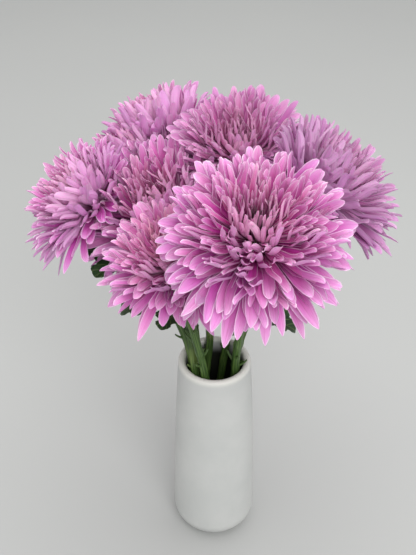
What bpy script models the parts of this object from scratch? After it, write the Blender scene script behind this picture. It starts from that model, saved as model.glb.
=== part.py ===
"""Eight double chrysanthemums with their stems and leaves, standing in a plain ceramic jar.

Metres, +Z up. The origin is the centre of the jar's foot, and -Y is the front.
"""

import math

import bmesh
import bpy
import numpy as np
from mathutils import Vector

# Jar: a turned cylinder that narrows a little to a thick round lip
JAR_HEIGHT = 0.195
JAR_RADIUS = 0.0375  # at the foot, before its corner is rounded
JAR_LEAN = 0.0128  # how fast the side draws in at the foot
JAR_BULGE = 0.127  # and how much faster it does so with each metre of height
JAR_WALL = 0.0062
JAR_FLOOR = 0.007
FOOT_ROUND = 0.0185
LIP_ROUND = JAR_WALL / 2
INSIDE_ROUND = 0.010
JAR_SEGMENTS = 40

# Stems
STEM_RADIUS = 0.0033
STEM_FOOT = 0.0085  # height of the cut ends, just over the jar's floor
MOUTH_RING = 0.0193  # radius of the ring of stems at the jar's mouth
FOOT_RING = 0.0215  # and at the jar's floor
STEM_TWIST = math.radians(62)  # the bunch turns by this between floor and mouth
STEM_GAP = 0.0009  # between the end of a stem and its calyx
STEM_SIDES = 7
BEND = 0.6  # how long a stem keeps the direction of its neck and of its head
STEPS_IN_JAR = 3
STEPS_ABOVE = 9

# Flower heads, at size 1
CALYX_RADIUS = 0.0092
CALYX_DEPTH = 0.0125
CALYX_GAP = 0.0013  # from the base of the petals down to the top of the calyx
CALYX_SEGMENTS = 12
# half section of a calyx: share of its radius, share of its depth from below
CALYX_PROFILE = ((0.38, 0.0), (0.47, 0.28), (0.82, 0.48), (1.0, 0.76), (0.94, 1.0))
PETAL_THICKNESS = 0.0016
CLEARANCE = 0.0005  # between the petals of one head and the halfway plane to the next
SOFT_SHARE = 0.72  # petals start to shorten at this share of the way to that plane

# name of the whorl: lobes, base radius, base height, angle from the head's axis at the
# base and at the tip (degrees), and petal length
WHORLS = {
    "outer_petals": (13, 0.0085, 0.0004, 82, 116, 0.056),
    "middle_petals": (12, 0.0065, 0.0034, 70, 48, 0.046),
    "inner_petals": (9, 0.0042, 0.0064, 46, 8, 0.027),
}
NOTCH = 0.70  # the notch between two petals lies at this share of their length
RINGS = (0.0, 0.35, 0.7, 1.0)

# flower: place of the petals' base (m), rise of its axis over the horizon and its
# compass direction (degrees, 0 = +X, 270 = front), size, how far its petals are still
# raised (degrees) and the stem's place on the ring at the mouth (degrees)
FLOWERS = {
    "front": ((0.026, -0.056, 0.348), 66, 268, 1.06, 0, 332),
    "front_left": ((-0.027, -0.024, 0.304), 80, 245, 0.96, 4, 244),
    "middle_left": ((-0.038, 0.048, 0.300), 62, 236, 1.10, 14, 210),
    "far_left": ((-0.097, 0.058, 0.307), 46, 184, 0.95, 10, 176),
    "back_left": ((-0.060, 0.112, 0.309), 56, 165, 1.00, 8, 142),
    "back": ((-0.041, 0.135, 0.324), 62, 145, 0.98, 24, 103),
    "top": ((0.019, 0.076, 0.340), 66, 250, 1.00, 8, 60),
    "right": ((0.077, 0.028, 0.334), 54, 6, 1.04, 4, 16),
}

# Leaves: flower whose stem bears it, share of the way from mouth to head, compass
# direction, rise at the base and droop to the tip (degrees), length
LEAVES = (
    ("far_left", 0.66, 222, 24, 45, 0.044),
    ("far_left", 0.78, 215, 15, 40, 0.034),
    ("middle_left", 0.52, 215, 20, 40, 0.050),
    ("front_left", 0.76, 185, 15, 50, 0.048),
    ("front_left", 0.70, 238, 25, 45, 0.032),
    ("front", 0.45, 350, 20, 60, 0.040),
    ("right", 0.55, 300, 10, 60, 0.040),
    ("right", 0.60, 70, 10, 50, 0.040),
    ("top", 0.50, 20, 15, 60, 0.046),
    ("back", 0.45, 20, 15, 60, 0.046),
    ("back_left", 0.50, 178, 15, 55, 0.042),
)
LEAF_THICKNESS = 0.0010
LEAF_GAP = 0.0004  # between a leaf's stalk and its stem
# half width of a leaf along its midrib, as shares of its length: stalk, then lobes
LEAF_OUTLINE = (
    (0.0, 0.022),
    (0.18, 0.030),
    (0.32, 0.20),
    (0.42, 0.15),
    (0.56, 0.30),
    (0.66, 0.17),
    (0.80, 0.17),
    (1.0, 0.02),
)


def clear_scene():
    for thing in list(bpy.data.objects):
        bpy.data.objects.remove(thing)


def material(name, color, roughness):
    made = bpy.data.materials.new(name)
    made.use_nodes = True
    shader = made.node_tree.nodes["Principled BSDF"]
    shader.inputs["Base Color"].default_value = (*color, 1.0)
    shader.inputs["Roughness"].default_value = roughness
    shader.inputs["Metallic"].default_value = 0.0
    return made


def solid(name, points, faces, finish):
    """An object from points and faces that close it, with its faces turned outwards."""
    mesh = bpy.data.meshes.new(name)
    mesh.from_pydata([tuple(p) for p in points], [], faces)
    shape = bmesh.new()
    shape.from_mesh(mesh)
    bmesh.ops.recalc_face_normals(shape, faces=shape.faces)
    shape.to_mesh(mesh)
    shape.free()
    mesh.materials.append(finish)
    mesh.shade_smooth()
    made = bpy.data.objects.new(name, mesh)
    bpy.context.scene.collection.objects.link(made)
    return made


def tube_faces(rings, sides):
    """Faces of a run of equal rings of points, with a flat cap at each end."""
    faces = [tuple(range(sides)), tuple(range((rings - 1) * sides, rings * sides))]
    for ring in range(rings - 1):
        for side in range(sides):
            low = ring * sides + side
            low_next = ring * sides + (side + 1) % sides
            faces.append((low, low_next, low_next + sides, low + sides))
    return faces


def turned(profile, segments):
    """Rings of points for a profile of (radius, height) turned about Z."""
    points = []
    for radius, height in profile:
        for k in range(segments):
            angle = 2 * math.pi * k / segments
            points.append((radius * math.cos(angle), radius * math.sin(angle), height))
    return points


def arc(center, radius, start, end, steps):
    """Points of an arc in the (radius, height) plane, angles in degrees from outwards."""
    angles = np.radians(np.linspace(start, end, steps + 1))
    return [(center[0] + radius * math.cos(a), center[1] + radius * math.sin(a)) for a in angles]


def jar_radius(height):
    return JAR_RADIUS - JAR_LEAN * height - JAR_BULGE * height**2


def jar_profile():
    """From the rim of the flat foot, up the outside, over the lip and down to the inside floor."""
    foot = arc((jar_radius(FOOT_ROUND) - FOOT_ROUND, FOOT_ROUND), FOOT_ROUND, -90, 0, 7)
    lip_height = JAR_HEIGHT - LIP_ROUND
    side_heights = np.linspace(FOOT_ROUND, lip_height, 7)[1:-1]
    side = [(jar_radius(h), h) for h in side_heights]
    lip = arc((jar_radius(lip_height) - LIP_ROUND, lip_height), LIP_ROUND, 0, 180, 6)
    floor_edge = JAR_FLOOR + INSIDE_ROUND
    inside_heights = np.linspace(lip_height, floor_edge, 6)[1:-1]
    inside = [(jar_radius(h) - JAR_WALL, h) for h in inside_heights]
    corner_at = (jar_radius(floor_edge) - JAR_WALL - INSIDE_ROUND, floor_edge)
    corner = arc(corner_at, INSIDE_ROUND, 0, -90, 4)
    return foot + side + lip + inside + corner


def make_jar(finish):
    profile = jar_profile()
    solid("jar", turned(profile, JAR_SEGMENTS), tube_faces(len(profile), JAR_SEGMENTS), finish)


def direction(rise, compass):
    """Unit vector from a rise over the horizon and a compass direction, in degrees."""
    up, turn = math.radians(rise), math.radians(compass)
    return Vector((math.cos(up) * math.cos(turn), math.cos(up) * math.sin(turn), math.sin(up)))


def ring_point(radius, turn, height):
    return Vector((radius * math.cos(turn), radius * math.sin(turn), height))


def stem_path(flower):
    """Points up the middle of a stem: straight inside the jar, then bending to its head."""
    base, rise, compass, size, _, mouth = FLOWERS[flower]
    turn = math.radians(mouth)
    foot = ring_point(FOOT_RING, turn + STEM_TWIST, STEM_FOOT)
    neck = ring_point(MOUTH_RING, turn, JAR_HEIGHT)
    axis = direction(rise, compass)
    top = Vector(base) - axis * (size * (CALYX_GAP + CALYX_DEPTH) + STEM_GAP)
    reach = (top - neck).length
    leave = (neck - foot).normalized() * reach * BEND
    arrive = axis * reach * BEND
    path = [foot.lerp(neck, k / STEPS_IN_JAR) for k in range(STEPS_IN_JAR)]
    for k in range(STEPS_ABOVE + 1):
        t = k / STEPS_ABOVE
        point = neck * (2 * t**3 - 3 * t**2 + 1) + leave * (t**3 - 2 * t**2 + t)
        point += top * (3 * t**2 - 2 * t**3) + arrive * (t**3 - t**2)
        path.append(point)
    return path


def frame_along(path, last):
    """Two side vectors at each point of a path, carried along without twisting."""
    side = Vector((1, 0, 0))
    frames = []
    for k in range(len(path)):
        chord = path[min(k + 1, len(path) - 1)] - path[max(k - 1, 0)]
        ahead = last if k == len(path) - 1 else chord.normalized()
        side = (side - ahead * side.dot(ahead)).normalized()
        frames.append((side, ahead.cross(side)))
    return frames


def make_stem(flower, finish):
    path = stem_path(flower)
    axis = direction(*FLOWERS[flower][1:3])
    points = []
    for middle, (side, other) in zip(path, frame_along(path, axis)):
        for k in range(STEM_SIDES):
            turn = 2 * math.pi * k / STEM_SIDES
            offset = side * math.cos(turn) + other * math.sin(turn)
            points.append(middle + offset * STEM_RADIUS)
    solid(f"stem_{flower}", points, tube_faces(len(path), STEM_SIDES), finish)


def to_head(flower, points):
    """Points of a head's own frame, its axis along Z, moved to the flower's place."""
    base, rise, compass, size, *_ = FLOWERS[flower]
    axis = direction(rise, compass)
    turned_frame = axis.to_track_quat("Z", "Y").to_matrix()
    return [Vector(base) + turned_frame @ (Vector(p) * size) for p in points]


def make_calyx(flower, finish):
    """The green cup of bracts under a head."""
    below = -CALYX_GAP - CALYX_DEPTH
    profile = [(CALYX_RADIUS * r, below + CALYX_DEPTH * h) for r, h in CALYX_PROFILE]
    points = to_head(flower, turned(profile, CALYX_SEGMENTS))
    faces = tube_faces(len(profile), CALYX_SEGMENTS)
    solid(f"calyx_{flower}", points, faces, finish)


def petal_spine(base_radius, base_height, start, end, length):
    """(radius, height, angle) along a petal that bends from one angle to another."""
    steps = 12
    radius, height = base_radius, base_height
    spine = [(radius, height, math.radians(start))]
    for k in range(steps):
        angle = math.radians(start + (end - start) * (k + 0.5) / steps)
        radius += math.sin(angle) * length / steps
        height += math.cos(angle) * length / steps
        spine.append((radius, height, angle))
    return spine


def along(spine, share):
    place = share * (len(spine) - 1)
    low = min(int(place), len(spine) - 2)
    return [a + (b - a) * (place - low) for a, b in zip(spine[low], spine[low + 1])]


def kept_apart(flower, points):
    """Points of a head, drawn in towards its base where they near a neighbour's half."""
    base = np.array(FLOWERS[flower][0])
    rays = np.array([tuple(p) for p in points]) - base
    reach = np.maximum(np.linalg.norm(rays, axis=1), 1e-9)
    limit = np.full(len(rays), 10.0)
    for other, (place, *_) in FLOWERS.items():
        if other == flower:
            continue
        apart = np.array(place) - base
        distance = np.linalg.norm(apart)
        towards = rays @ (apart / distance) / reach
        half = distance / 2 - CLEARANCE
        limit = np.where(towards > 1e-6, np.minimum(limit, half / np.maximum(towards, 1e-6)), limit)
    share = reach / limit
    squeezed = 1 - (1 - SOFT_SHARE) * np.exp(-(share - SOFT_SHARE) / (1 - SOFT_SHARE))
    share = np.where(share > SOFT_SHARE, squeezed, share)
    return base + rays * (share * limit / reach)[:, None]


def make_whorl(flower, whorl, finish):
    """One whorl of petals as a thin lobed bowl."""
    lobes, base_radius, base_height, start, end, length = WHORLS[whorl]
    raised = FLOWERS[flower][4]
    spine = petal_spine(base_radius, base_height, start - raised / 2, end - raised, length)
    columns = 2 * lobes
    upper, lower = [], []
    for share in RINGS:
        for k in range(columns):
            reach = share * (1.0 if k % 2 == 0 else NOTCH)
            radius, height, angle = along(spine, reach)
            half = PETAL_THICKNESS / 2 * (1 - 0.4 * share)
            across, up = -math.cos(angle) * half, math.sin(angle) * half
            turn = 2 * math.pi * k / columns
            for side, sign in ((upper, 1), (lower, -1)):
                r = radius + sign * across
                side.append((r * math.cos(turn), r * math.sin(turn), height + sign * up))
    rings = len(RINGS)
    rows = [upper[r * columns:(r + 1) * columns] for r in range(rings)]
    rows += [lower[r * columns:(r + 1) * columns] for r in reversed(range(rings))]
    points = [p for row in rows for p in row]
    placed = kept_apart(flower, to_head(flower, points))
    solid(f"{whorl}_{flower}", placed, tube_faces(2 * rings, columns), finish)


def make_leaf(number, leaf, finish):
    """A lobed blade folded along its midrib, with its stalk against a stem."""
    flower, share, compass, rise, droop, length = leaf
    path = stem_path(flower)[STEPS_IN_JAR:]
    place = Vector(along([tuple(p) for p in path], share))
    outwards = direction(0, compass)
    sideways = Vector((0, 0, 1)).cross(outwards)
    place += outwards * (STEM_RADIUS * 1.25 + LEAF_GAP)
    points = []
    before = 0.0
    for station, half_width in LEAF_OUTLINE:
        angle = math.radians(rise - droop * (station + before) / 2)
        ahead = outwards * math.cos(angle) + Vector((0, 0, math.sin(angle)))
        place = place + ahead * (station - before) * length
        before = station
        over = sideways.cross(ahead) * -1
        edge_lift = over * half_width * length * 0.35
        row = (
            place - sideways * half_width * length + edge_lift,
            place,
            place + sideways * half_width * length + edge_lift,
        )
        points += [p + over * LEAF_THICKNESS / 2 for p in row]
        points += [p - over * LEAF_THICKNESS / 2 for p in reversed(row)]
    solid(f"leaf_{number}", points, tube_faces(len(LEAF_OUTLINE), 6), finish)


def build():
    clear_scene()
    ceramic = material("off_white_ceramic", (0.62, 0.62, 0.60), 0.55)
    stem_green = material("stem_green", (0.10, 0.19, 0.05), 0.5)
    calyx_green = material("calyx_green", (0.09, 0.17, 0.05), 0.6)
    leaf_green = material("leaf_green", (0.03, 0.09, 0.03), 0.5)
    petal_finishes = {
        "outer_petals": material("outer_petal_lilac", (0.62, 0.30, 0.55), 0.55),
        "middle_petals": material("middle_petal_mauve", (0.58, 0.22, 0.48), 0.55),
        "inner_petals": material("inner_petal_magenta", (0.52, 0.15, 0.38), 0.55),
    }
    make_jar(ceramic)
    for flower in FLOWERS:
        make_stem(flower, stem_green)
        make_calyx(flower, calyx_green)
        for whorl, finish in petal_finishes.items():
            make_whorl(flower, whorl, finish)
    for number, leaf in enumerate(LEAVES, start=1):
        make_leaf(number, leaf, leaf_green)


build()
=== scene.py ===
import math
import random

import bmesh
import bpy
import numpy as np
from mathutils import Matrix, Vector, noise


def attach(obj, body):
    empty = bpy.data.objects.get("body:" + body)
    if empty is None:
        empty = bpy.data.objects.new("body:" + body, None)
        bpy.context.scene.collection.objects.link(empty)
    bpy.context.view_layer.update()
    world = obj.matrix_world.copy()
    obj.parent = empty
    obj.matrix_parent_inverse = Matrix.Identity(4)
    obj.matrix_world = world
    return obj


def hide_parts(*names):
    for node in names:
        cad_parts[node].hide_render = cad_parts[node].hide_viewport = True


# Chrysanthemums in a ceramic jar: the looks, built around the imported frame.
# Metres, +Z up, -Y to the front, as in the frame.

# Jar, as in the frame
JAR_HEIGHT = 0.195
JAR_RADIUS = 0.0375
JAR_LEAN = 0.0128
JAR_BULGE = 0.127
JAR_WALL = 0.0062
JAR_FLOOR = 0.007
FOOT_ROUND = 0.0185
FOOT_HOLLOW = 0.0009  # the middle of the foot stands clear of the table
LIP_ROUND = JAR_WALL / 2
INSIDE_ROUND = 0.010
JAR_SEGMENTS = 128

# Stems, as in the frame
STEM_RADIUS = 0.0033
STEM_FOOT = 0.0085
MOUTH_RING = 0.0193
FOOT_RING = 0.0215
STEM_TWIST = math.radians(62)
STEM_GAP = 0.0009
BEND = 0.6
STEM_SIDES = 24
STEPS_IN_JAR = 24
STEPS_ABOVE = 44

# Flower heads at size 1, as in the frame
CALYX_DEPTH = 0.0125
CALYX_GAP = 0.0013
SOFT_SHARE = 0.72

# flower: place of the petals' base (m), rise of its axis over the horizon and its
# compass direction (degrees), size, how far its petals are still raised (degrees) and
# the stem's place on the ring at the mouth (degrees)
FLOWERS = {
    "front": ((0.026, -0.056, 0.348), 66, 268, 1.06, 0, 332),
    "front_left": ((-0.027, -0.024, 0.304), 80, 245, 0.96, 4, 244),
    "middle_left": ((-0.038, 0.048, 0.300), 62, 236, 1.10, 14, 210),
    "far_left": ((-0.097, 0.058, 0.307), 46, 184, 0.95, 10, 176),
    "back_left": ((-0.060, 0.112, 0.309), 56, 165, 1.00, 8, 142),
    "back": ((-0.041, 0.135, 0.324), 62, 145, 0.98, 24, 103),
    "top": ((0.019, 0.076, 0.340), 66, 250, 1.00, 8, 60),
    "right": ((0.077, 0.028, 0.334), 54, 6, 1.04, 4, 16),
}

# how far each head pushes its neighbours' petals back
PUSH = {
    "front": 1.0, "front_left": 1.1, "middle_left": 1.3, "far_left": 0.5,
    "back_left": 0.6, "back": 0.8, "top": 1.0, "right": 0.7,
}

# how each head has opened: number of petals, seed, how far its eye is open (0 to 1)
# (which also scales the shade painted into the eye), lean of its outermost petals (degrees),
# warmth of its middle and its outside (0 lilac, 1 salmon, over 1 stronger), how faded it is
# and a factor on its petals' length
HEADS = {
    "front": (460, 3, 1.0, 90, 0.12, 0.05, 0.00, 1.00),
    "front_left": (360, 7, 0.0, 92, 1.20, 0.25, 0.05, 0.94),
    "middle_left": (360, 11, 0.5, 96, 0.35, 0.15, 0.10, 1.06),
    "far_left": (340, 5, 0.3, 92, 0.15, 0.00, 0.05, 1.00),
    "back_left": (300, 13, 0.3, 98, 0.15, 0.10, 0.10, 1.00),
    "back": (300, 17, 0.3, 92, 0.25, 0.15, 0.10, 1.00),
    "top": (360, 19, 0.1, 94, 0.50, 0.30, 0.35, 1.00),
    "right": (340, 23, 0.4, 88, 0.10, 0.00, 0.65, 1.00),
}

# Leaves, as in the frame: flower whose stem bears it, share of the way from mouth to
# head, compass direction, rise at the base and droop to the tip (degrees), length
LEAVES = (
    ("far_left", 0.66, 222, 24, 45, 0.044),
    ("far_left", 0.78, 215, 15, 40, 0.034),
    ("middle_left", 0.52, 215, 20, 40, 0.050),
    ("front_left", 0.76, 185, 15, 50, 0.048),
    ("front_left", 0.70, 238, 25, 45, 0.032),
    ("front", 0.45, 350, 20, 60, 0.040),
    ("right", 0.55, 300, 10, 60, 0.040),
    ("right", 0.60, 70, 10, 50, 0.040),
    ("top", 0.50, 20, 15, 60, 0.046),
    ("back", 0.45, 20, 15, 60, 0.046),
    ("back_left", 0.50, 178, 15, 55, 0.042),
)

GOLDEN_ANGLE = math.pi * (3 - math.sqrt(5))
LAP = 0.022  # how far petals may reach over the plane between their head and the next
DROOP = 0.007  # how far the tips of the outermost petals hang down
# painted shade: the petals in the eye's hollow, and the feet of the petals round it, are painted dark where
# shade falls
DARK_EYE = 0.02  # share of the petals, counted from the middle, that make an eye
DARK_THROATS = 0.06  # and the share whose feet are dark round it
CREASE = math.radians(110)  # petals turn sharply only at their rims

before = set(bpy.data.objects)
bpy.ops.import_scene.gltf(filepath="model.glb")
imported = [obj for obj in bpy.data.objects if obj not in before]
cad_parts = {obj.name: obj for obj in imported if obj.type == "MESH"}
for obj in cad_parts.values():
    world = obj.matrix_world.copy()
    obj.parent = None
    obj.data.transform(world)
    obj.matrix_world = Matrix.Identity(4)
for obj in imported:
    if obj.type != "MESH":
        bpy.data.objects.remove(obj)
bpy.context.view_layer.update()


# ---------------------------------------------------------------- formulas in node trees


class Field:
    """A node socket that can stand in a formula: each operation adds one Math node."""

    def __init__(self, tree, socket):
        self.tree = tree
        self.socket = socket

    def math(self, operation, *values):
        node = self.tree.nodes.new("ShaderNodeMath")
        node.operation = operation
        for pin, value in zip(node.inputs, values):
            feed(self.tree, value, pin)
        return Field(self.tree, node.outputs[0])

    def __add__(self, other):
        return self.math("ADD", self, other)

    def __sub__(self, other):
        return self.math("SUBTRACT", self, other)

    def __mul__(self, other):
        return self.math("MULTIPLY", self, other)

    def __truediv__(self, other):
        return self.math("DIVIDE", self, other)

    def __pow__(self, other):
        return self.math("POWER", self, other)

    def __rsub__(self, other):
        return self.math("SUBTRACT", other, self)

    __radd__ = __add__
    __rmul__ = __mul__

    def sin(self):
        return self.math("SINE", self)

    def cos(self):
        return self.math("COSINE", self)

    def size(self):
        return self.math("ABSOLUTE", self)

    def fraction(self):
        return self.math("FRACT", self)

    def most(self, other):
        return self.math("MAXIMUM", self, other)

    def step(self, low, high):
        """0 below low, 1 above high, smooth between."""
        node = self.tree.nodes.new("ShaderNodeMapRange")
        node.interpolation_type = "SMOOTHSTEP"
        feed(self.tree, self, node.inputs["Value"])
        feed(self.tree, low, node.inputs["From Min"])
        feed(self.tree, high, node.inputs["From Max"])
        return Field(self.tree, node.outputs["Result"])


def feed(tree, value, pin):
    """Links a field or a socket to an input, or sets its value."""
    if isinstance(value, Field):
        tree.links.new(value.socket, pin)
    elif isinstance(value, bpy.types.NodeSocket):
        tree.links.new(value, pin)
    else:
        pin.default_value = value


def add(tree, kind, settings=None, **values):
    """A node with its settings and its inputs, whose names have _ for a space."""
    node = tree.nodes.new(kind)
    for name, value in (settings or {}).items():
        setattr(node, name, value)
    for name, value in values.items():
        feed(tree, value, node.inputs[name.replace("_", " ")])
    return node


# ---------------------------------------------------------------- places along the bunch


def direction(rise, compass):
    """Unit vector from a rise over the horizon and a compass direction, in degrees."""
    up, turn = math.radians(rise), math.radians(compass)
    return Vector((math.cos(up) * math.cos(turn), math.cos(up) * math.sin(turn), math.sin(up)))


def ring_point(radius, turn, height):
    return Vector((radius * math.cos(turn), radius * math.sin(turn), height))


def stem_path(flower):
    """Points up the middle of a stem: straight inside the jar, then bending to its head."""
    base, rise, compass, size, _, mouth = FLOWERS[flower]
    turn = math.radians(mouth)
    foot = ring_point(FOOT_RING, turn + STEM_TWIST, STEM_FOOT)
    neck = ring_point(MOUTH_RING, turn, JAR_HEIGHT)
    axis = direction(rise, compass)
    top = Vector(base) - axis * (size * (CALYX_GAP + CALYX_DEPTH) + STEM_GAP)
    reach = (top - neck).length
    leave = (neck - foot).normalized() * reach * BEND
    arrive = axis * reach * BEND
    path = [foot.lerp(neck, k / STEPS_IN_JAR) for k in range(STEPS_IN_JAR)]
    for k in range(STEPS_ABOVE + 1):
        t = k / STEPS_ABOVE
        point = neck * (2 * t**3 - 3 * t**2 + 1) + leave * (t**3 - 2 * t**2 + t)
        point += top * (3 * t**2 - 2 * t**3) + arrive * (t**3 - t**2)
        path.append(point)
    return path


def frame_along(path):
    """Two side vectors at each point of a path, carried along without twisting."""
    side = Vector((1, 0, 0))
    frames = []
    for k in range(len(path)):
        ahead = (path[min(k + 1, len(path) - 1)] - path[max(k - 1, 0)]).normalized()
        side = (side - ahead * side.dot(ahead)).normalized()
        frames.append((side, ahead.cross(side)))
    return frames


def at_head(flower, points):
    """Points of a head's own frame, its axis along Z, moved to the flower's place."""
    base, rise, compass, size, *_ = FLOWERS[flower]
    turned_frame = np.array(direction(rise, compass).to_track_quat("Z", "Y").to_matrix())
    return np.array(base) + np.asarray(points) @ turned_frame.T * size


def kept_apart(flower, points):
    """Points of a head, drawn in towards its base where they near a neighbour's side."""
    base = np.array(FLOWERS[flower][0])
    rays = points - base
    reach = np.maximum(np.linalg.norm(rays, axis=1), 1e-9)
    limit = np.full(len(rays), 10.0)
    for other, (place, *_) in FLOWERS.items():
        if other == flower:
            continue
        apart = np.array(place) - base
        distance = np.linalg.norm(apart)
        towards = np.maximum(rays @ (apart / distance) / reach, 1e-6)
        share = PUSH[flower] / (PUSH[flower] + PUSH[other])
        limit = np.minimum(limit, (distance * share + LAP * PUSH[flower]) / towards)
    share = reach / limit
    squeezed = 1 - (1 - SOFT_SHARE) * np.exp(-(share - SOFT_SHARE) / (1 - SOFT_SHARE))
    share = np.where(share > SOFT_SHARE, squeezed, share)
    return base + rays * (share * limit / reach)[:, None]


# ---------------------------------------------------------------- meshes


def put(name, mesh, finish, nodes):
    """A finished piece in the scene, riding on the frame in place of its plain solids."""
    made = bpy.data.objects.new(name, mesh)
    bpy.context.scene.collection.objects.link(made)
    if finish.name not in mesh.materials:
        mesh.materials.clear()
        mesh.materials.append(finish)
    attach(made, "root")
    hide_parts(*nodes)
    return made


def coordinates(mesh):
    points = np.empty(len(mesh.vertices) * 3, np.float32)
    mesh.vertices.foreach_get("co", points)
    return points.reshape(-1, 3).astype(float)


def set_coordinates(mesh, points):
    mesh.vertices.foreach_set("co", np.asarray(points, np.float32).ravel())
    mesh.update()


class Shape:
    """Rows of points, closed into bodies, with a map of two coordinates on their faces."""

    def __init__(self):
        self.points = []
        self.faces = []
        self.maps = []

    def tube(self, rows, map_of):
        """A run of rings, capped at both ends. map_of(ring, side) gives the map's coordinates."""
        start = len(self.points)
        sides = len(rows[0])
        for row in rows:
            self.points.extend(row)
        last = start + (len(rows) - 1) * sides
        for ring in range(len(rows) - 1):
            for side in range(sides):
                low = start + ring * sides + side
                low_next = start + ring * sides + (side + 1) % sides
                self.faces.append((low, low_next, low_next + sides, low + sides))
                self.maps.append((
                    map_of(ring, side), map_of(ring, side + 1),
                    map_of(ring + 1, side + 1), map_of(ring + 1, side),
                ))
        self.faces.append(tuple(range(start + sides - 1, start - 1, -1)))
        self.maps.append(tuple(map_of(0, side) for side in range(sides - 1, -1, -1)))
        self.faces.append(tuple(range(last, last + sides)))
        self.maps.append(tuple(map_of(len(rows) - 1, side) for side in range(sides)))

    def mesh(self, name, map_name):
        made = bpy.data.meshes.new(name)
        made.from_pydata([tuple(p) for p in self.points], [], self.faces)
        layer = made.uv_layers.new(name=map_name)
        flat = [value for corners in self.maps for pair in corners for value in pair]
        layer.data.foreach_set("uv", flat)
        shape = bmesh.new()
        shape.from_mesh(made)
        bmesh.ops.recalc_face_normals(shape, faces=shape.faces)
        shape.to_mesh(made)
        shape.free()
        made.shade_smooth()
        return made


def turned(profile, segments):
    """Rings of points for a profile of (radius, height) turned about Z."""
    turns = [2 * math.pi * k / segments for k in range(segments)]
    return [[Vector((r * math.cos(a), r * math.sin(a), h)) for a in turns] for r, h in profile]


def arc(center, radius, start, end, steps):
    """Points of an arc in the (radius, height) plane, angles in degrees from outwards."""
    angles = np.radians(np.linspace(start, end, steps + 1))
    return [(center[0] + radius * math.cos(a), center[1] + radius * math.sin(a)) for a in angles]


# ---------------------------------------------------------------- the jar


def jar_radius(height):
    return JAR_RADIUS - JAR_LEAN * height - JAR_BULGE * height**2


def jar_profile():
    """From the middle of the foot, up the outside, over the lip and down to the inside floor."""
    foot_flat = jar_radius(FOOT_ROUND) - FOOT_ROUND
    hollow = [(foot_flat * share, FOOT_HOLLOW) for share in (0.02, 0.4, 0.78)]
    foot_ring = [(foot_flat * 0.86, 0.0), (foot_flat * 0.95, 0.0)]
    foot = arc((foot_flat, FOOT_ROUND), FOOT_ROUND, -90, 0, 18)
    lip_height = JAR_HEIGHT - LIP_ROUND
    side_heights = np.linspace(FOOT_ROUND, lip_height, 40)[1:-1]
    side = [(jar_radius(h), h) for h in side_heights]
    lip = arc((jar_radius(lip_height) - LIP_ROUND, lip_height), LIP_ROUND, 0, 180, 16)
    floor_edge = JAR_FLOOR + INSIDE_ROUND
    inside_heights = np.linspace(lip_height, floor_edge, 24)[1:-1]
    inside = [(jar_radius(h) - JAR_WALL, h) for h in inside_heights]
    corner_at = (jar_radius(floor_edge) - JAR_WALL - INSIDE_ROUND, floor_edge)
    corner = arc(corner_at, INSIDE_ROUND, 0, -90, 10)
    floor = [(corner_at[0] * share, JAR_FLOOR) for share in (0.6, 0.3, 0.02)]
    return hollow + foot_ring + foot + side + lip + inside + corner + floor


def make_jar(finish):
    profile = jar_profile()
    shape = Shape()
    shape.tube(
        turned(profile, JAR_SEGMENTS),
        lambda ring, side: (side / JAR_SEGMENTS, ring / (len(profile) - 1)),
    )
    put("ceramic_jar", shape.mesh("ceramic_jar", "chart"), finish, ["jar"])


# ---------------------------------------------------------------- stems


def bump(value, center, width):
    return math.exp(-(((value - center) / width) ** 2))


NODE_SPACING = 0.031  # between the places where leaves were stripped
RIBS = 6
STEM_OVERLAP = 0.0012  # how far a stem runs up into its cup, at size 1
STUBS = 9
STUB_SPACING = 0.0125
STUB_STEPS, STUB_SIDES = 4, 8
STUBS_END = 0.86  # share of a stem's length past which it is bare
BARE_NECK = 0.045  # length above the mouth that bears no small leaf
SMALL_LEAF_ROWS = 22


def stem_rows(path, radius, seed):
    """Rings of a ribbed stem that swells where leaves were stripped."""
    lengths = np.concatenate([[0], np.cumsum([(b - a).length for a, b in zip(path, path[1:])])])
    rows = []
    for middle, (side, other), done in zip(path, frame_along(path), lengths):
        node = (done + seed * 0.007) / NODE_SPACING
        swell = 0.16 * bump(node - round(node), 0, 0.09)
        widen = 0.35 * bump(done, lengths[-1], 0.006)
        node_side = GOLDEN_ANGLE * round(node) + seed
        row = []
        for k in range(STEM_SIDES):
            turn = 2 * math.pi * k / STEM_SIDES
            rib = 0.045 * math.cos(RIBS * turn + 1.5 * seed)
            heel = 2.2 * swell * max(0.0, math.cos(turn - node_side)) ** 4
            uneven = 0.03 * noise.noise(Vector((math.cos(turn), math.sin(turn), done * 60 + seed)))
            offset = side * math.cos(turn) + other * math.sin(turn)
            row.append(middle + offset * radius * (0.97 + swell + widen + rib + heel + uneven))
        rows.append(row)
    return rows, lengths


def stub_rows(place, ahead, outwards, length, radius):
    """Rings of a stalk left where a leaf or shoot was taken off, bending up along its stem."""
    sideways = ahead.cross(outwards).normalized()
    rows = []
    for k in range(STUB_STEPS + 1):
        share = k / STUB_STEPS
        tilt = math.radians(66 - 34 * share)
        heading = outwards * math.sin(tilt) + ahead * math.cos(tilt)
        if k:
            place = place + heading * length / STUB_STEPS
        over = heading.cross(sideways)
        wide = radius * (1.25 - 0.55 * share)
        turns = [2 * math.pi * c / STUB_SIDES for c in range(STUB_SIDES)]
        rows.append([place + (sideways * math.cos(a) + over * math.sin(a)) * wide for a in turns])
    return rows


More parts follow.
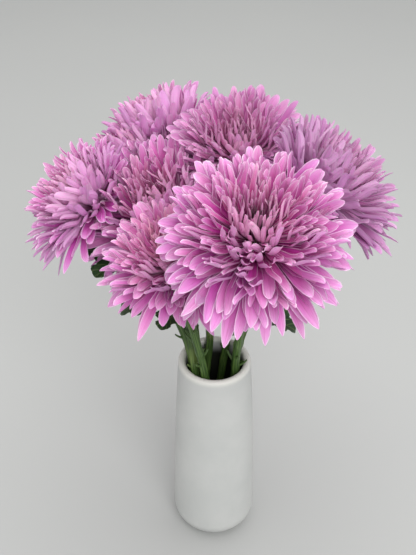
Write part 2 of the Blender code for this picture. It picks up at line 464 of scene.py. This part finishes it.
def make_stem(flower, number, finish, leaf_green):
    """A cut stem with the stalks that were left on it above the mouth and their small leaves."""
    path = stem_path(flower)
    axis = direction(*FLOWERS[flower][1:3])
    size = FLOWERS[flower][3]
    path.append(path[-1] + axis * (STEM_GAP + size * STEM_OVERLAP))
    rows, lengths = stem_rows(path, STEM_RADIUS, number)
    shape = Shape()
    shape.tube(rows, lambda ring, side: (side / STEM_SIDES, lengths[ring]))

    rng = random.Random(40 + number)
    small_leaves = []  # the first and last face of each
    for stub in range(STUBS):
        done = lengths[STEPS_IN_JAR] + (stub - 0.6 + rng.uniform(-0.3, 0.3)) * STUB_SPACING
        if done > lengths[-1] * STUBS_END:
            break
        ring = int(np.searchsorted(lengths, done))
        ahead = (path[ring] - path[ring - 1]).normalized()
        turn = GOLDEN_ANGLE * stub + number * 1.7
        outwards = Vector((math.cos(turn), math.sin(turn), 0.0))
        outwards = (outwards - ahead * outwards.dot(ahead)).normalized()
        length = rng.uniform(0.005, 0.011)
        start = path[ring] + outwards * STEM_RADIUS * 0.6
        stalk = stub_rows(start, ahead, outwards, length, rng.uniform(0.0009, 0.0013))
        shape.tube(stalk, lambda ring, side: (side / STUB_SIDES, ring * 0.002))
        if stub % 3 != 1 and done > lengths[STEPS_IN_JAR] + BARE_NECK:
            tip = sum(stalk[-1], Vector()) / STUB_SIDES
            flat = Vector((outwards.x, outwards.y, 0.0)).normalized()
            blade = blade_rows(tip - flat * 0.002, flat, rng.uniform(10, 70), rng.uniform(40, 90),
                               rng.uniform(0.015, 0.028), stub + number, SMALL_LEAF_ROWS)
            small_leaves.append(len(shape.faces))
            shape.tube(blade, leaf_chart(SMALL_LEAF_ROWS))
            small_leaves.append(len(shape.faces))

    name = f"cut_stem_{flower}"
    made = put(name, shape.mesh(name, "chart"), finish, [f"stem_{flower}"])
    made.data.materials.append(leaf_green)
    for first, last in zip(small_leaves[::2], small_leaves[1::2]):
        for face in made.data.polygons[first:last]:
            face.material_index = 1


# ---------------------------------------------------------------- petals


PETAL_ROWS, PETAL_COLUMNS = 9, 5
TIP_CROWDING = 2.3  # how much closer a petal's rows lie towards its tip
# what changes from the inner petals to the outer ones
GROWING = ("Length", "Width", "Lean", "Curl", "Channel", "Hook", "Point")
WHORL_INPUTS = {
    **dict.fromkeys(("First", "Count", "Petals", "Seed"), "NodeSocketInt"),
    **dict.fromkeys(("Base Radius", "Base Depth"), "NodeSocketFloat"),
    **dict.fromkeys((f"{end} {name}" for name in GROWING for end in ("Inner", "Outer")), "NodeSocketFloat"),
    **dict.fromkeys(("Dimple", "Disorder", "Thickness"), "NodeSocketFloat"),
    "Finish": "NodeSocketMaterial",
}


def named(tree, name):
    node = add(tree, "GeometryNodeInputNamedAttribute", Name=name)
    return Field(tree, node.outputs["Attribute"])


def parts_of(tree, vector):
    """The three coordinates of a vector socket."""
    node = add(tree, "ShaderNodeSeparateXYZ", Vector=vector)
    return [Field(tree, socket) for socket in node.outputs]


def unit_petal(tree):
    """A flat closed shell: X runs along the petal, Y across it, Z is the share of its thickness."""
    grid = add(tree, "GeometryNodeMeshGrid", Size_X=1.0, Size_Y=2.0,
               Vertices_X=PETAL_ROWS, Vertices_Y=PETAL_COLUMNS)
    x, across, _ = parts_of(tree, add(tree, "GeometryNodeInputPosition").outputs[0])
    x = x + 0.5
    along = 1 - (1 - x) ** TIP_CROWDING
    depth = (1 - across * across) * (x * (1 - x) * 4).most(0.0) ** 0.5
    sides = []
    for under in (0.0, 1.0):
        shaped = add(tree, "GeometryNodeSetPosition", Geometry=grid.outputs["Mesh"])
        spot = add(tree, "ShaderNodeCombineXYZ", X=along, Y=across, Z=depth * (1 - 2 * under))
        tree.links.new(spot.outputs[0], shaped.inputs["Position"])
        facing = shaped
        if under:
            facing = add(tree, "GeometryNodeFlipFaces", Mesh=shaped.outputs["Geometry"])
        marked = add(tree, "GeometryNodeStoreNamedAttribute", {"domain": "FACE"},
                     Geometry=facing.outputs[0], Name="underside", Value=under)
        sides.append(marked.outputs["Geometry"])
    both = tree.nodes.new("GeometryNodeJoinGeometry")
    for side in sides:
        tree.links.new(side, both.inputs["Geometry"])
    return add(tree, "GeometryNodeMergeByDistance", Geometry=both.outputs[0], Distance=1e-4)


def whorl_tree():
    """Geometry nodes that grow petals, closed shells each, around the axis of a head."""
    tree = bpy.data.node_groups.new("petal_whorl", "GeometryNodeTree")
    for name, kind in WHORL_INPUTS.items():
        tree.interface.new_socket(name, in_out="INPUT", socket_type=kind)
    tree.interface.new_socket("Geometry", in_out="OUTPUT", socket_type="NodeSocketGeometry")
    entry = tree.nodes.new("NodeGroupInput")
    given = {name: Field(tree, entry.outputs[name]) for name in WHORL_INPUTS}

    # one point for each petal, numbered from the middle of the head outwards
    points = add(tree, "GeometryNodePoints", Count=given["Count"])
    index = Field(tree, add(tree, "GeometryNodeInputIndex").outputs[0]) + given["First"]
    numbered = add(tree, "GeometryNodeStoreNamedAttribute", Geometry=points.outputs[0],
                   Name="petal_number", Value=index)
    copies = add(tree, "GeometryNodeInstanceOnPoints", Points=numbered.outputs["Geometry"],
                 Instance=unit_petal(tree).outputs[0])
    real = add(tree, "GeometryNodeRealizeInstances", Geometry=copies.outputs["Instances"])

    number = named(tree, "petal_number")
    along, across, depth = parts_of(tree, add(tree, "GeometryNodeInputPosition").outputs[0])
    age = (number + 0.5) / given["Petals"]

    def chance(salt, low=-1.0, high=1.0):
        """A random number for each petal."""
        node = add(tree, "FunctionNodeRandomValue", {"data_type": "FLOAT"})
        feed(tree, low, node.inputs[2])
        feed(tree, high, node.inputs[3])
        feed(tree, number, node.inputs["ID"])
        feed(tree, given["Seed"] * 31 + salt, node.inputs["Seed"])
        return Field(tree, node.outputs[1])

    def grown(name, share):
        inner, outer = given[f"Inner {name}"], given[f"Outer {name}"]
        return inner + (outer - inner) * share

    disorder = given["Disorder"]
    late = age.step(0.70, 1.0)
    turn = number * GOLDEN_ANGLE + chance(1) * disorder * 0.20
    lean = grown("Lean", age ** 0.74) + chance(2) * disorder * 0.13
    curl = grown("Curl", age.step(0.0, 0.12)) + chance(3) * disorder * 0.26
    length = grown("Length", age ** 0.75) * (1 + chance(4) * disorder * 0.09)
    length = length * (1 - given["Dimple"] * (1 - age.step(0.0, 0.03)))
    half_width = grown("Width", age ** 0.58) * 0.5
    half_width = half_width * (1 + chance(5) * 0.16)
    twist = chance(6) * disorder * 0.55 * along
    sway = chance(7) * disorder * 0.07 * along * along

    # along the middle: an even bend, and a tip that hooks back towards the axis
    bend = curl * along
    chord = length * along * (1 - bend * bend / 24)
    heading = lean + bend * 0.5
    hook = along.step(0.60, 1.05) * grown("Hook", late)
    hook = hook * age.step(0.03, 0.11) * length * (1 + chance(10) * 0.6)
    base_radius = given["Base Radius"] * age ** 0.35
    base_height = given["Base Depth"] * (1 - age)
    slope = lean + bend

    # across: a channel that opens towards a rounded, slightly pointed tip
    opening = 0.30 + 0.70 * along.step(0.0, 0.62)
    point = grown("Point", late)
    shoulder = 0.85 - 0.17 * late
    tip = (1 - ((along - shoulder) / (1 - shoulder)).most(0.0) ** 2).most(0.0) ** point
    reach = half_width * opening * tip.most(0.09)
    arch = grown("Channel", late) * (1.35 - 0.5 * along.step(0.1, 0.9))
    arch = arch * (1 + chance(8) * 0.28)
    sideways = reach * (across * arch).sin() / arch
    raised = reach * (1 - (across * arch).cos()) / arch + hook
    raised = raised + depth * given["Thickness"] * 0.5
    over = sideways * twist.cos() - raised * twist.sin() + sway * length
    lift = sideways * twist.sin() + raised * twist.cos()

    radius = base_radius + chord * heading.sin() - lift * slope.cos()
    height = base_height + chord * heading.cos() + lift * slope.sin()
    spot = add(
        tree, "ShaderNodeCombineXYZ",
        X=radius * turn.cos() - over * turn.sin(),
        Y=radius * turn.sin() + over * turn.cos(),
        Z=height,
    )

    # what the material reads is stored before the shell is bent
    chart = add(tree, "ShaderNodeCombineXYZ", X=along, Y=across * 0.5 + 0.5)
    result = add(tree, "GeometryNodeStoreNamedAttribute", {"data_type": "FLOAT2", "domain": "CORNER"},
                 Geometry=real.outputs[0], Name="petal_map", Value=chart.outputs[0])
    for name, value in (("age", age), ("tone", chance(9, 0.0, 1.0)), ("along", along)):
        result = add(tree, "GeometryNodeStoreNamedAttribute", Geometry=result.outputs[0],
                     Name=name, Value=value)
    result = add(tree, "GeometryNodeSetPosition", Geometry=result.outputs[0], Position=spot.outputs[0])
    result = add(tree, "GeometryNodeSetShadeSmooth", Geometry=result.outputs[0])
    result = add(tree, "GeometryNodeRealizeInstances", Geometry=result.outputs[0])
    result = add(tree, "GeometryNodeSetMaterial", Geometry=result.outputs[0], Material=given["Finish"])
    leave = tree.nodes.new("NodeGroupOutput")
    tree.links.new(result.outputs[0], leave.inputs[0])
    return tree


def grow(name, tree, values):
    """The plain mesh that the tree makes with these inputs."""
    holder = bpy.data.objects.new(name, bpy.data.meshes.new(name))
    bpy.context.scene.collection.objects.link(holder)
    modifier = holder.modifiers.new("grow", "NODES")
    modifier.node_group = tree
    for item in tree.interface.items_tree:
        if item.in_out == "INPUT":
            modifier[item.identifier] = values[item.name]
    graph = bpy.context.evaluated_depsgraph_get()
    mesh = bpy.data.meshes.new_from_object(holder.evaluated_get(graph), depsgraph=graph)
    mesh.name = name
    holder.modifiers.clear()
    bpy.data.objects.remove(holder)
    return mesh


def store(mesh, name, value):
    """A number at each point, or one for the whole mesh, for its material to read."""
    layer = mesh.attributes.new(name, "FLOAT", "POINT")
    layer.data.foreach_set("value", np.float32(np.broadcast_to(value, len(mesh.vertices))))


def values_of(mesh, name):
    values = np.empty(len(mesh.vertices), np.float32)
    mesh.attributes[name].data.foreach_get("value", values)
    return values.astype(float)


# share of a head's petals that each whorl holds, counted from the middle
WHORL_SHARES = {"inner": (0.0, 0.22), "middle": (0.22, 0.62), "outer": (0.62, 1.0)}


def make_head(flower, tree, finishes):
    """The three whorls of a head's petals, each a piece of its own."""
    petals, seed, eye, outer_lean, warm_middle, warm_outside, fade, reach = HEADS[flower]
    raised = math.radians(FLOWERS[flower][4])
    for whorl, (start, end) in WHORL_SHARES.items():
        name = f"{whorl}_ray_petals_{flower}"
        values = {
            "First": round(petals * start),
            "Count": round(petals * end) - round(petals * start),
            "Petals": petals,
            "Seed": seed,
            "Base Radius": 0.0088,
            "Base Depth": 0.006,
            "Inner Length": 0.034 * reach,
            "Outer Length": 0.0545 * reach,
            "Inner Width": 0.0011,
            "Outer Width": 0.0103,
            "Inner Lean": math.radians(2),
            "Outer Lean": math.radians(outer_lean) - raised,
            "Inner Curl": math.radians(-10),
            "Outer Curl": math.radians(14) - raised * 0.5,
            "Inner Channel": 1.25,
            "Outer Channel": 0.70,
            "Inner Hook": 0.20,
            "Outer Hook": -0.02,
            "Inner Point": 0.50,
            "Outer Point": 0.66,
            "Dimple": 0.10 * eye,
            "Disorder": 1.4,
            "Thickness": 0.00045,
            "Finish": finishes[whorl],
        }
        mesh = grow(name, tree, values)
        age, along = values_of(mesh, "age"), values_of(mesh, "along")
        points = at_head(flower, coordinates(mesh))
        points[:, 2] -= DROOP * along**2 * np.clip((age - 0.5) / 0.5, 0, 1)
        set_coordinates(mesh, kept_apart(flower, points))
        mesh.set_sharp_from_angle(angle=CREASE)
        towards_middle = np.clip(1.4 - 2.4 * age, 0, 1)
        store(mesh, "warmth", warm_outside + (warm_middle - warm_outside) * towards_middle)
        store(mesh, "fade", fade)
        # painted shade in the eye's hollow and on the feet of the petals round it, scaled by how open the
        # eye is
        heart = np.clip(1.5 - age / DARK_EYE, 0, 1)
        throats = np.clip(1.3 - age / DARK_THROATS, 0, 1) * np.clip(1.9 - 1.8 * along, 0, 1)
        store(mesh, "dusk", eye * np.maximum(heart, throats))
        put(name, mesh, finishes[whorl], [f"{whorl}_petals_{flower}"])


# ---------------------------------------------------------------- calyces


CUP_SEGMENTS = 24
SCALES_UP = 0.0052  # height of the lowest scales over the bottom of the cup


def make_calyx(flower, tree, finish):
    """The green cup under a head with its scales, and the pad that the petals stand on."""
    below = -CALYX_GAP - CALYX_DEPTH
    cup = [
        (0.0005, below), (0.0034, below), (0.0043, below + 0.0030), (0.0070, below + 0.0058),
        (0.0086, below + 0.0090), (0.0088, below + 0.0118), (0.0086, 0.0), (0.0076, 0.0026),
        (0.0052, 0.0052), (0.0026, 0.0064), (0.0004, 0.0067),
    ]
    shape = Shape()
    shape.tube(
        turned(cup, CUP_SEGMENTS),
        lambda ring, side: (ring / (len(cup) - 1), side / CUP_SEGMENTS),
    )
    name = f"scaly_cup_{flower}"
    mesh = shape.mesh(name, "petal_map")
    store(mesh, "tone", 0.5)
    scales = grow("scales", tree, {
        "First": 6, "Count": 34, "Petals": 40, "Seed": 4,
        "Base Radius": 0.0044, "Base Depth": -0.004,
        "Inner Length": 0.0135, "Outer Length": 0.0090,
        "Inner Width": 0.0050, "Outer Width": 0.0044,
        "Inner Lean": math.radians(36), "Outer Lean": math.radians(62),
        "Inner Curl": math.radians(-40), "Outer Curl": math.radians(-52),
        "Inner Channel": 0.6, "Outer Channel": 0.6, "Inner Hook": 0.0, "Outer Hook": 0.0,
        "Inner Point": 0.8, "Outer Point": 0.8, "Dimple": 0.0, "Disorder": 0.4,
        "Thickness": 0.0004, "Finish": finish,
    })
    set_coordinates(scales, coordinates(scales) + np.array([0, 0, below + SCALES_UP]))
    joined = bmesh.new()
    joined.from_mesh(mesh)
    joined.from_mesh(scales)
    joined.to_mesh(mesh)
    joined.free()
    set_coordinates(mesh, at_head(flower, coordinates(mesh)))
    mesh.shade_smooth()
    put(name, mesh, finish, [f"calyx_{flower}"])


# ---------------------------------------------------------------- leaves


LEAF_ROWS, LEAF_COLUMNS = 61, 9
LEAF_THICKNESS = 0.0005
STALK_THICKNESS = 0.0012  # of the ridge that makes the stalk round
LEAF_STALK = 0.17  # share of a leaf's length that is stalk


def leaf_half_width(share):
    """Half width as a share of the length: a narrow stalk, then a lobed blade."""
    if share <= LEAF_STALK:
        return 0.020
    blade = (share - LEAF_STALK) / (1 - LEAF_STALK)
    swell = math.sin(math.pi * blade**0.85) ** 0.7
    lobes = 0.50 + 0.50 * abs(math.cos(math.pi * (3.1 * blade + 0.30))) ** 0.8
    teeth = 0.035 * abs(math.sin(math.pi * 12 * blade)) * swell
    return 0.020 + 0.30 * swell * lobes + teeth


def blade_rows(place, outwards, rise, droop, length, number, count):
    """Rings around a leaf's cross-section, from its stalk to its tip."""
    sideways = Vector((0, 0, 1)).cross(outwards)
    rows, before = [], 0.0
    for k in range(count):
        station = k / (count - 1)
        angle = math.radians(rise - droop * (station + before) / 2)
        ahead = outwards * math.cos(angle) + Vector((0, 0, math.sin(angle)))
        place = place + ahead * (station - before) * length
        before = station
        over = sideways.cross(ahead) * -1
        half = leaf_half_width(station) * length
        upper, lower = [], []
        for c in range(LEAF_COLUMNS):
            across = 2 * c / (LEAF_COLUMNS - 1) - 1
            wave = 0.05 * math.sin(9 * station + 2.3 * number + 1.5 * across) * abs(across)
            fold = 0.34 * abs(across) ** 1.2 + wave
            forward = 0.30 * abs(across) * half
            point = place + sideways * across * half + over * fold * half + ahead * forward
            thick = LEAF_THICKNESS / 2 * (1.15 - across * across)
            if station < LEAF_STALK:
                thick += STALK_THICKNESS / 2 * (1 - across * across)
            upper.append(point + over * thick)
            lower.append(point - over * thick)
        rows.append(upper + lower[::-1])
    return rows


def leaf_chart(count):
    """Along and across a leaf, the same on its top and its underside."""
    around = 2 * LEAF_COLUMNS

    def chart(ring, side):
        side = side % around
        column = side if side < LEAF_COLUMNS else around - 1 - side
        return ring / (count - 1), column / (LEAF_COLUMNS - 1)

    return chart


def make_leaf(number, leaf, finish):
    """A lobed leaf that grows out of the side of a stem."""
    flower, share, compass, rise, droop, length = leaf
    path = stem_path(flower)[STEPS_IN_JAR:]
    spot = share * (len(path) - 1)
    low = min(int(spot), len(path) - 2)
    outwards = direction(0, compass)
    place = path[low].lerp(path[low + 1], spot - low) + outwards * STEM_RADIUS * 0.8
    shape = Shape()
    rows = blade_rows(place, outwards, rise, droop, length, number, LEAF_ROWS)
    shape.tube(rows, leaf_chart(LEAF_ROWS))
    name = f"lobed_leaf_{number}"
    put(name, shape.mesh(name, "chart"), finish, [f"leaf_{number}"])


# ---------------------------------------------------------------- finishes


def color(red, green, blue):
    """A linear colour from the usual 0 to 255 values."""
    def linear(value):
        value /= 255
        return value / 12.92 if value <= 0.04045 else ((value + 0.055) / 1.055) ** 2.4
    return (linear(red), linear(green), linear(blue), 1.0)


def mixed(tree, share, low, high):
    """A colour between low and high. low and high are colours or sockets."""
    node = tree.nodes.new("ShaderNodeMix")
    node.data_type = "RGBA"
    feed(tree, share, node.inputs[0])
    feed(tree, low, node.inputs[6])
    feed(tree, high, node.inputs[7])
    return node.outputs[2]


def texture(tree, kind, vector, output=0, **values):
    return Field(tree, add(tree, kind, Vector=vector, **values).outputs[output])


def stretched(tree, x, y, z=0.0):
    return add(tree, "ShaderNodeCombineXYZ", X=x, Y=y, Z=z).outputs[0]


def material(name, roughness, **constants):
    """A material with its Principled shader, and that shader's plain values."""
    made = bpy.data.materials.new(name)
    made.use_nodes = True
    shader = made.node_tree.nodes["Principled BSDF"]
    shader.inputs["Roughness"].default_value = roughness
    for socket, value in constants.items():
        shader.inputs[socket.replace("_", " ")].default_value = value
    return made, made.node_tree, shader


def chart_of(tree, name):
    """The two coordinates of a piece's own map."""
    return parts_of(tree, add(tree, "ShaderNodeUVMap", {"uv_map": name}).outputs[0])[:2]


def stored(tree, name):
    """A number that is kept on the piece itself."""
    return Field(tree, add(tree, "ShaderNodeAttribute", {"attribute_name": name}).outputs["Fac"])


def place_of(tree):
    return add(tree, "ShaderNodeTexCoord").outputs["Object"]


def relief(tree, shader, strength, depth, height):
    node = add(tree, "ShaderNodeBump", Strength=strength, Distance=depth, Height=height)
    feed(tree, node.outputs[0], shader.inputs["Normal"])


def new_group(name, inputs, outputs):
    group = bpy.data.node_groups.new(name, "ShaderNodeTree")
    for label, kind in inputs:
        group.interface.new_socket(label, in_out="INPUT", socket_type=kind)
    for label, kind in outputs:
        group.interface.new_socket(label, in_out="OUTPUT", socket_type=kind)
    return group, group.nodes.new("NodeGroupInput"), group.nodes.new("NodeGroupOutput")


# the last mask and the last colour carry shade painted into the eye's hollow
PETAL_MASKS = ("Along", "Across", "Underside", "Tone", "Warmth", "Fade", "Dusk")
PETAL_COLORS = ("Throat", "Blade", "Tip", "Rim", "Back", "Warm", "Faded", "Dusky")


def petal_group():
    """Colours and fine relief of a petal, from its map, with shade painted into the eye and a pale rim that
    is partly painted light.
    """
    inputs = [(name, "NodeSocketFloat") for name in PETAL_MASKS]
    inputs += [(name, "NodeSocketColor") for name in PETAL_COLORS]
    outputs = [("Color", "NodeSocketColor"), ("Height", "NodeSocketFloat")]
    group, entry, leave = new_group("petal_surface", inputs, outputs)
    masks = [Field(group, entry.outputs[name]) for name in PETAL_MASKS]
    along, across, under, tone, warmth, fade, dusk = masks
    throat, blade, tip, rim, back, warm, faded, shadowed = (entry.outputs[name] for name in PETAL_COLORS)

    edge = (across * 2 - 1).size()
    cell = stretched(group, along * 1.6, across * 9 + tone * 40, tone * 17)
    streaks = texture(group, "ShaderNodeTexNoise", cell, Scale=1.7, Detail=4.0, Roughness=0.6)
    cloud = stretched(group, along * 2.2, across * 1.5, tone * 23)
    blush = texture(group, "ShaderNodeTexNoise", cloud, Scale=1.3, Detail=2.0)

    shade = mixed(group, (along + (blush - 0.5) * 0.22).step(0.05, 0.62), throat, blade)
    shade = mixed(group, (along + (streaks - 0.5) * 0.45 + edge * 0.10).step(0.60, 1.15), shade, tip)
    shade = mixed(group, streaks.step(0.48, 0.66) * 0.42, shade, throat)
    # pale rim: partly the paler back showing where the edge curls over, partly painted light glowing
    # through the thin edge
    rim_back_and_glow = (edge + along.step(0.90, 1.0) * 0.3).step(0.80, 0.98) * along.step(0.15, 0.5)
    shade = mixed(group, rim_back_and_glow * 0.95, shade, rim)
    turned_over = mixed(group, along.step(0.0, 0.5), blade, back)
    turned_over = mixed(group, streaks.step(0.45, 0.75) * 0.35, turned_over, blade)
    shade = mixed(group, under, shade, turned_over)
    shade = mixed(group, warmth * (0.35 + 0.3 * tone), shade, warm)
    shade = mixed(group, fade * (0.4 + 0.6 * along), shade, faded)
    # painted shade: the eye's hollow and the petal feet round it go dark
    shade = mixed(group, dusk * 0.90, shade, shadowed)
    value = add(group, "ShaderNodeHueSaturation", Hue=0.5 + (tone - 0.5) * 0.012,
                Saturation=1.06 - tone * 0.14, Value=0.97 + tone * 0.14, Color=shade)
    feed(group, value.outputs[0], leave.inputs["Color"])
    grooves = (across * math.pi * 6).cos() * 0.5 + 0.5
    feed(group, grooves * 0.6 + streaks * 0.4, leave.inputs["Height"])
    return group


def petal_finish(name, group, **colors):
    made, tree, shader = material(
        name, 0.55, Specular_IOR_Level=0.25, Sheen_Weight=0.06, Sheen_Roughness=0.4,
        Subsurface_Weight=0.22, Subsurface_Radius=(1.0, 0.32, 0.75), Subsurface_Scale=0.0018)
    values = dict(zip(PETAL_MASKS, chart_of(tree, "petal_map")))
    for label in PETAL_MASKS[2:]:
        values[label] = stored(tree, label.lower())
    surface = add(tree, "ShaderNodeGroup", {"node_tree": group}, **values, **colors)
    feed(tree, surface.outputs["Color"], shader.inputs["Base Color"])
    relief(tree, shader, 0.55, 0.0004, surface.outputs["Height"])
    return made


def make_petal_finishes():
    group = petal_group()
    # each finish's last colour is the shade painted into the eye's hollow
    return {
        "outer": petal_finish(
            "lilac_petal", group,
            Throat=color(156, 0, 104), Blade=color(204, 94, 180), Tip=color(228, 172, 218),
            Rim=color(240, 208, 236), Back=color(220, 164, 212), Warm=color(232, 156, 194),
            Faded=color(186, 142, 180), Dusky=color(110, 60, 70)),
        "middle": petal_finish(
            "mauve_petal", group,
            Throat=color(142, 0, 90), Blade=color(200, 76, 166), Tip=color(230, 172, 216),
            Rim=color(246, 216, 240), Back=color(226, 172, 214), Warm=color(236, 162, 196),
            Faded=color(186, 142, 180), Dusky=color(110, 60, 70)),
        "inner": petal_finish(
            "magenta_petal", group,
            Throat=color(110, 0, 62), Blade=color(192, 62, 146), Tip=color(238, 182, 220),
            Rim=color(248, 218, 238), Back=color(230, 174, 210), Warm=color(240, 170, 198),
            Faded=color(188, 140, 178), Dusky=color(44, 8, 16)),
    }


def speckle_group():
    """Fine clay texture: even mottling, small dark specks and a grain of pits."""
    inputs = [("Scale", "NodeSocketFloat"), ("Specks", "NodeSocketFloat")]
    outputs = [(name, "NodeSocketFloat") for name in ("Mottle", "Speck", "Grain")]
    group, entry, leave = new_group("clay_texture", inputs, outputs)
    where = place_of(group)
    scale = Field(group, entry.outputs["Scale"])
    mottle = texture(group, "ShaderNodeTexNoise", where, Scale=scale, Detail=5.0, Roughness=0.55)
    grain = texture(group, "ShaderNodeTexNoise", where, Scale=scale * 40, Detail=2.0)
    cells = texture(group, "ShaderNodeTexVoronoi", where, Scale=scale * 14)
    speck = (1 - cells.step(0.03, 0.09)) * Field(group, entry.outputs["Specks"])
    feed(group, mottle, leave.inputs["Mottle"])
    feed(group, speck, leave.inputs["Speck"])
    feed(group, grain, leave.inputs["Grain"])
    return group


LIP_ENDS = 0.685  # share of the jar's profile, counted from the foot, where its inside begins


def ceramic_finish():
    made, tree, shader = material("matte_glaze", 0.5, Specular_IOR_Level=0.4)
    clay = add(tree, "ShaderNodeGroup", {"node_tree": speckle_group()}, Scale=22.0, Specks=0.25)
    mottle, speck, grain = (Field(tree, clay.outputs[k]) for k in range(3))
    where = place_of(tree)
    height = parts_of(tree, where)[2]
    glaze = mixed(tree, mottle.step(0.3, 0.7), color(188, 190, 188), color(196, 197, 195))
    # painted highlight: the top 6 mm, over the rounded lip, is lighter
    glaze = mixed(tree, height.step(JAR_HEIGHT - 0.006, JAR_HEIGHT) * 0.6, glaze, color(232, 231, 222))
    glaze = mixed(tree, (1 - height.step(0.0, 0.0016)) * 0.8, glaze, color(196, 188, 174))
    glaze = mixed(tree, speck, glaze, color(178, 172, 160))
    # painted shade: the inside of the jar, below the lip, is near black
    inside = chart_of(tree, "chart")[1].step(LIP_ENDS, LIP_ENDS + 0.015)
    glaze = mixed(tree, inside, glaze, color(34, 36, 30))
    feed(tree, glaze, shader.inputs["Base Color"])
    feed(tree, mottle * 0.16 + 0.44, shader.inputs["Roughness"])
    relief(tree, shader, 0.22, 0.0006, grain * 0.4 + mottle)
    return made


def stem_finish():
    made, tree, shader = material("green_stem", 0.48, Specular_IOR_Level=0.4)
    around, along = chart_of(tree, "chart")
    where = place_of(tree)
    strands = stretched(tree, around * 26, along * 34)
    fibres = texture(tree, "ShaderNodeTexNoise", strands, Scale=1.0, Detail=4.0)
    patches = texture(tree, "ShaderNodeTexNoise", where, Scale=38.0, Detail=3.0)
    bark = mixed(tree, fibres.step(0.32, 0.68), color(34, 60, 24), color(86, 114, 54))
    bark = mixed(tree, patches.step(0.48, 0.75) * 0.55, bark, color(126, 142, 72))
    bark = mixed(tree, patches.step(0.68, 0.74) * 0.5, bark, color(140, 104, 70))
    feed(tree, bark, shader.inputs["Base Color"])
    relief(tree, shader, 0.4, 0.0005, fibres)
    return made


def calyx_finish():
    made, tree, shader = material("green_scale", 0.55, Specular_IOR_Level=0.35)
    along, across = chart_of(tree, "petal_map")
    tone = stored(tree, "tone")
    edge = (across * 2 - 1).size()
    strands = stretched(tree, along * 2, across * 12, tone * 9)
    veins = texture(tree, "ShaderNodeTexNoise", strands, Scale=1.5, Detail=3.0)
    scale = mixed(tree, veins.step(0.3, 0.7), color(48, 74, 30), color(92, 122, 52))
    scale = mixed(tree, edge.step(0.7, 1.0) * 0.6, scale, color(168, 170, 112))
    feed(tree, scale, shader.inputs["Base Color"])
    relief(tree, shader, 0.3, 0.0004, veins)
    return made


def leaf_finish():
    made, tree, shader = material("green_leaf", 0.46, Specular_IOR_Level=0.4)
    along, across = chart_of(tree, "chart")
    edge = (across * 2 - 1).size()
    where = place_of(tree)
    side_veins = ((along * 7 - edge * 1.1).fraction() - 0.5).size()
    veins = (1 - side_veins.step(0.0, 0.12)).most(1 - edge.step(0.0, 0.10))
    cells = texture(tree, "ShaderNodeTexVoronoi", where, Scale=900.0)
    patches = texture(tree, "ShaderNodeTexNoise", where, Scale=60.0, Detail=3.0)
    blade = mixed(tree, patches.step(0.3, 0.7), color(24, 50, 24), color(48, 82, 38))
    blade = mixed(tree, veins * 0.55, blade, color(104, 132, 74))
    blade = mixed(tree, (1 - along.step(0.10, 0.22)) * 0.7, blade, color(88, 112, 56))
    feed(tree, blade, shader.inputs["Base Color"])
    relief(tree, shader, 0.5, 0.0004, cells * 0.3 - veins * 0.7)
    return made


# ---------------------------------------------------------------- studio


FLOOR_RADIUS = 4.0
LIT_PLACE = (0, 0, 0.2)  # what the lamps point at
CAMERA_PLACE = (-0.0055, -0.497, 0.642)
CAMERA_DIP = math.radians(36.2)  # below the horizon
SENSOR, LENS = 36, 51.892  # mm


def make_floor():
    """A plain pale floor."""
    shape = bmesh.new()
    bmesh.ops.create_circle(shape, cap_ends=True, segments=96, radius=FLOOR_RADIUS)
    mesh = bpy.data.meshes.new("floor")
    shape.to_mesh(mesh)
    shape.free()
    made, tree, shader = material("pale_floor", 0.75, Specular_IOR_Level=0.25)
    where = place_of(tree)
    cloud = texture(tree, "ShaderNodeTexNoise", where, Scale=2.0, Detail=2.0)
    pale = mixed(tree, cloud, color(174, 175, 174), color(178, 179, 177))
    feed(tree, pale, shader.inputs["Base Color"])
    mesh.materials.append(made)
    floor = bpy.data.objects.new("floor", mesh)
    bpy.context.scene.collection.objects.link(floor)


def make_light(name, place, width, power):
    data = bpy.data.lights.new(name, "AREA")
    data.shape = "DISK"
    data.size = width
    data.energy = power
    lamp = bpy.data.objects.new(name, data)
    lamp.location = place
    lamp.rotation_mode = "QUATERNION"
    lamp.rotation_quaternion = (Vector(place) - Vector(LIT_PLACE)).to_track_quat("Z", "Y")
    bpy.context.scene.collection.objects.link(lamp)


def make_studio():
    world = bpy.data.worlds.new("studio")
    bpy.context.scene.world = world
    world.use_nodes = True
    sky = world.node_tree.nodes["Background"]
    sky.inputs["Color"].default_value = (1.0, 1.0, 1.0, 1.0)
    sky.inputs["Strength"].default_value = 0.70
    make_light("overhead", (0.1, 0.3, 2.1), 2.4, 26)
    make_light("front", (0.40, -1.55, 1.6), 1.4, 27)
    bpy.context.scene.view_settings.view_transform = "Standard"


def make_camera():
    data = bpy.data.cameras.new("camera")
    data.sensor_width, data.lens = SENSOR, LENS
    data.clip_start, data.clip_end = 0.01, 50
    camera = bpy.data.objects.new("camera", data)
    camera.location = CAMERA_PLACE
    camera.rotation_euler = (math.pi / 2 - CAMERA_DIP, 0, 0)
    bpy.context.scene.collection.objects.link(camera)
    bpy.context.scene.camera = camera


# ---------------------------------------------------------------- all of it


def build():
    make_camera()
    make_floor()
    make_studio()
    tree = whorl_tree()
    make_jar(ceramic_finish())
    stem_green = stem_finish()
    scale_green = calyx_finish()
    leaf_green = leaf_finish()
    petal_finishes = make_petal_finishes()
    for number, flower in enumerate(FLOWERS):
        make_stem(flower, number, stem_green, leaf_green)
        make_calyx(flower, tree, scale_green)
        make_head(flower, tree, petal_finishes)
    for number, leaf in enumerate(LEAVES, start=1):
        make_leaf(number, leaf, leaf_green)


build()
